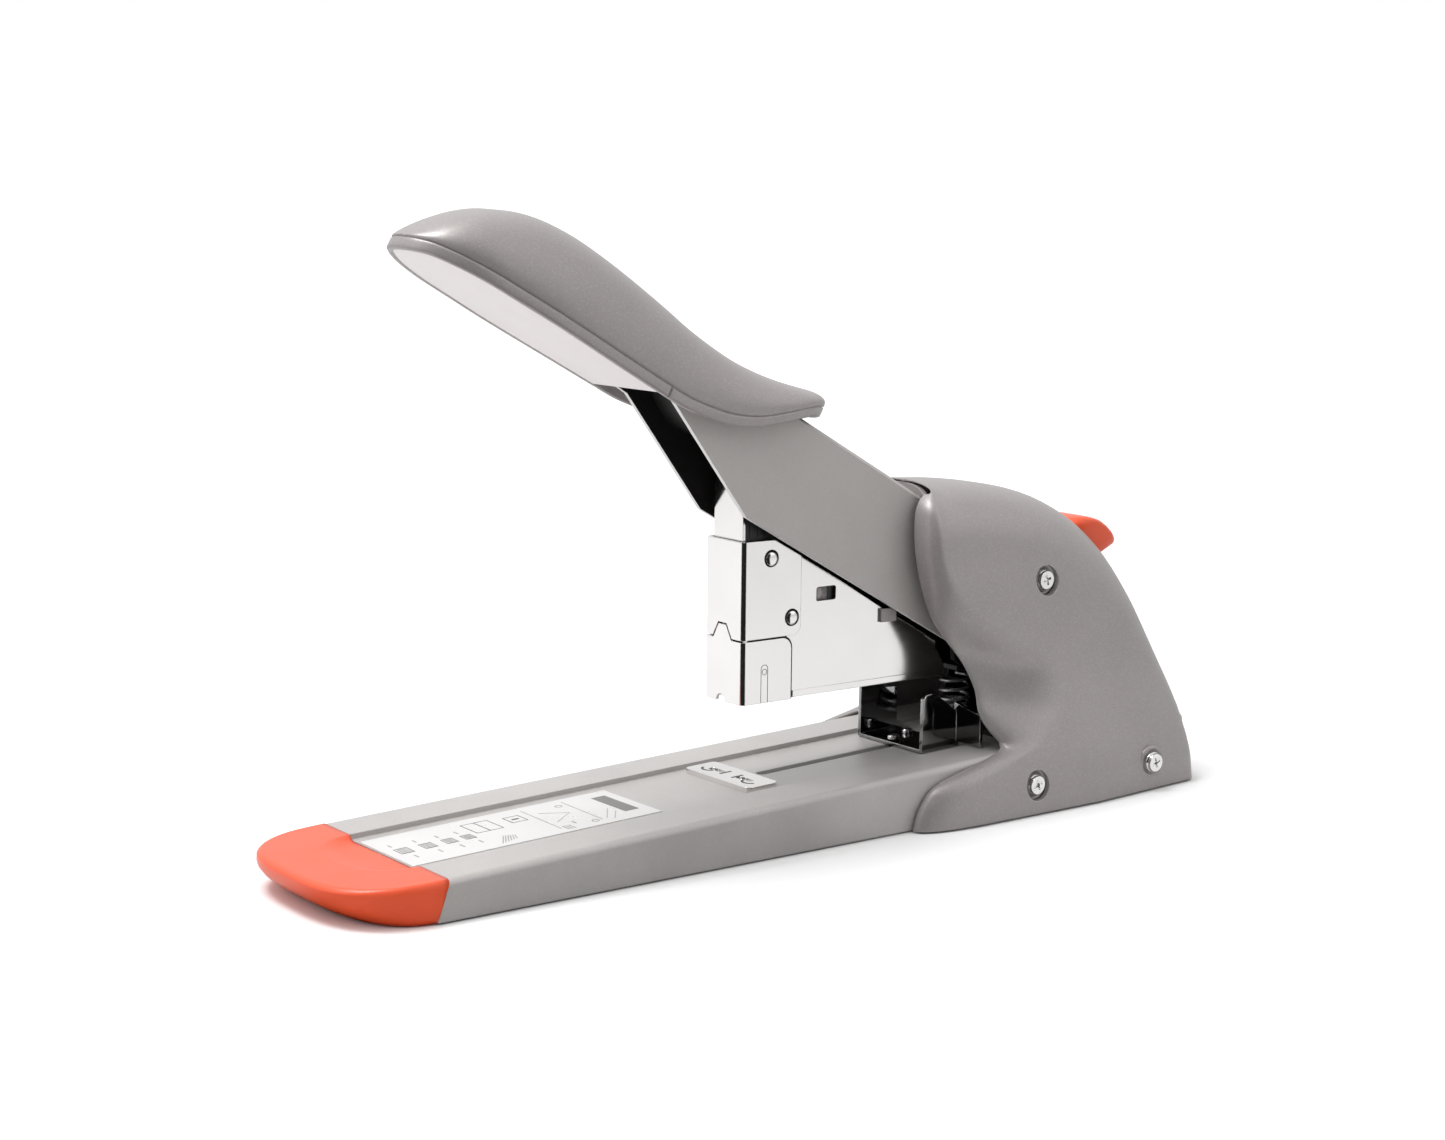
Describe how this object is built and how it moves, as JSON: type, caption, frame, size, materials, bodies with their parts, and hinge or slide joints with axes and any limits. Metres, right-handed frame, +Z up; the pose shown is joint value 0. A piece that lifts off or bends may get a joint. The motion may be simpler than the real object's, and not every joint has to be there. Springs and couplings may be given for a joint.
{
  "type": "heavy-duty stapler",
  "caption": "Heavy-duty desk stapler with long steel base, hinged head and front-loading staple drawer, raised lever handle, paper guide and moulded rear housing.",
  "frame": {"origin": "on the desk, under the middle of the stapler's overall box", "axes": "+X from the nose to the rear housing, +Y to the stapler's left side seen from the rear, +Z up"},
  "size_m": [0.281, 0.076, 0.1637],
  "materials": {
    "base_paint": "satin silver-grey paint",
    "arm_paint": "satin grey paint",
    "nickel": "bright nickel plate",
    "dark_nickel": "black nickel plate",
    "spring_steel": "spring steel",
    "black_steel": "blackened steel",
    "silver_plastic": "silver metallic-flake moulding",
    "black_plastic": "black moulding",
    "pale_plastic": "near-white moulding",
    "orange_plastic": "orange moulding",
    "label_paper": "printed foil",
    "screw_chrome": "chrome plated screw",
    "foot_rubber": "black rubber"
  },
  "bodies": {
    "root": {"base_frame": "base_paint", "base_floor": "black_steel", "rubber_feet": "foot_rubber", "nose_cap": "orange_plastic", "instruction_label": "label_paper", "anvil_plate": "nickel", "housing_left": "silver_plastic", "housing_right": "silver_plastic", "housing_screws": "screw_chrome", "pivot_bracket": "black_steel", "bracket_screws": "screw_chrome", "pivot_shaft": "spring_steel", "shaft_clips": "spring_steel", "handle_spring": "spring_steel", "lift_spring": "spring_steel", "button_spring": "spring_steel"},
    "guide": {"paper_guide": "dark_nickel", "guide_clamp": "black_steel", "guide_screws": "screw_chrome"},
    "button": {"release_button": "orange_plastic", "release_rod": "spring_steel"},
    "handle": {"handle_arms": "arm_paint", "drive_pin": "spring_steel", "handle_stiffener": "black_plastic", "grip_cover": "silver_plastic", "grip_base": "pale_plastic"},
    "head": {"magazine_frame": "nickel", "head_cover": "nickel", "cover_rivets": "nickel", "head_link": "black_steel"},
    "driver": {"driver_carrier": "nickel", "driver_blade": "spring_steel"},
    "drawer": {"drawer_front": "nickel", "drawer_rail": "nickel", "staple_strip": "spring_steel", "pusher_rod": "spring_steel", "pusher_spring": "spring_steel"},
    "pusher": {"staple_pusher": "black_plastic"}
  },
  "joints": [
    {"name": "handle_press", "type": "hinge", "parent": "root", "child": "handle", "pos_m": [0.0935, 0, 0.042], "axis": [0, -1, 0], "range_deg": [0, 21], "stiffness_Nm_per_rad": 0.6, "springref_deg": -91.67},
    {"name": "head_swing", "type": "hinge", "parent": "root", "child": "head", "pos_m": [0.0935, 0, 0.042], "axis": [0, -1, 0], "range_deg": [0, 10.51], "deforming": ["lift_spring"]},
    {"name": "driver_stroke", "type": "slide", "parent": "head", "child": "driver", "axis": [0, 0, -1], "range_m": [0, 0.01721]},
    {"name": "drawer_slide", "type": "slide", "parent": "head", "child": "drawer", "axis": [1, 0, 0], "range_m": [-0.055, 0]},
    {"name": "pusher_slide", "type": "slide", "parent": "drawer", "child": "pusher", "axis": [1, 0, 0], "range_m": [0, 0.03], "stiffness_N_per_m": 40, "springref_m": -0.05, "deforming": ["pusher_spring"]},
    {"name": "button_push", "type": "slide", "parent": "root", "child": "button", "axis": [-0.9135, 0, -0.4067], "range_m": [0, 0.005], "stiffness_N_per_m": 300, "springref_m": -0.004, "deforming": ["button_spring"]},
    {"name": "guide_slide", "type": "slide", "parent": "root", "child": "guide", "axis": [-0.9993, 0, -0.0375], "range_m": [0, 0.044]}
  ],
  "couplings": [
    {"joint": "head_swing", "follows": "handle_press", "ratio": 0.5},
    {"joint": "driver_stroke", "follows": "handle_press", "m_per_rad": 0.046928}
  ]
}
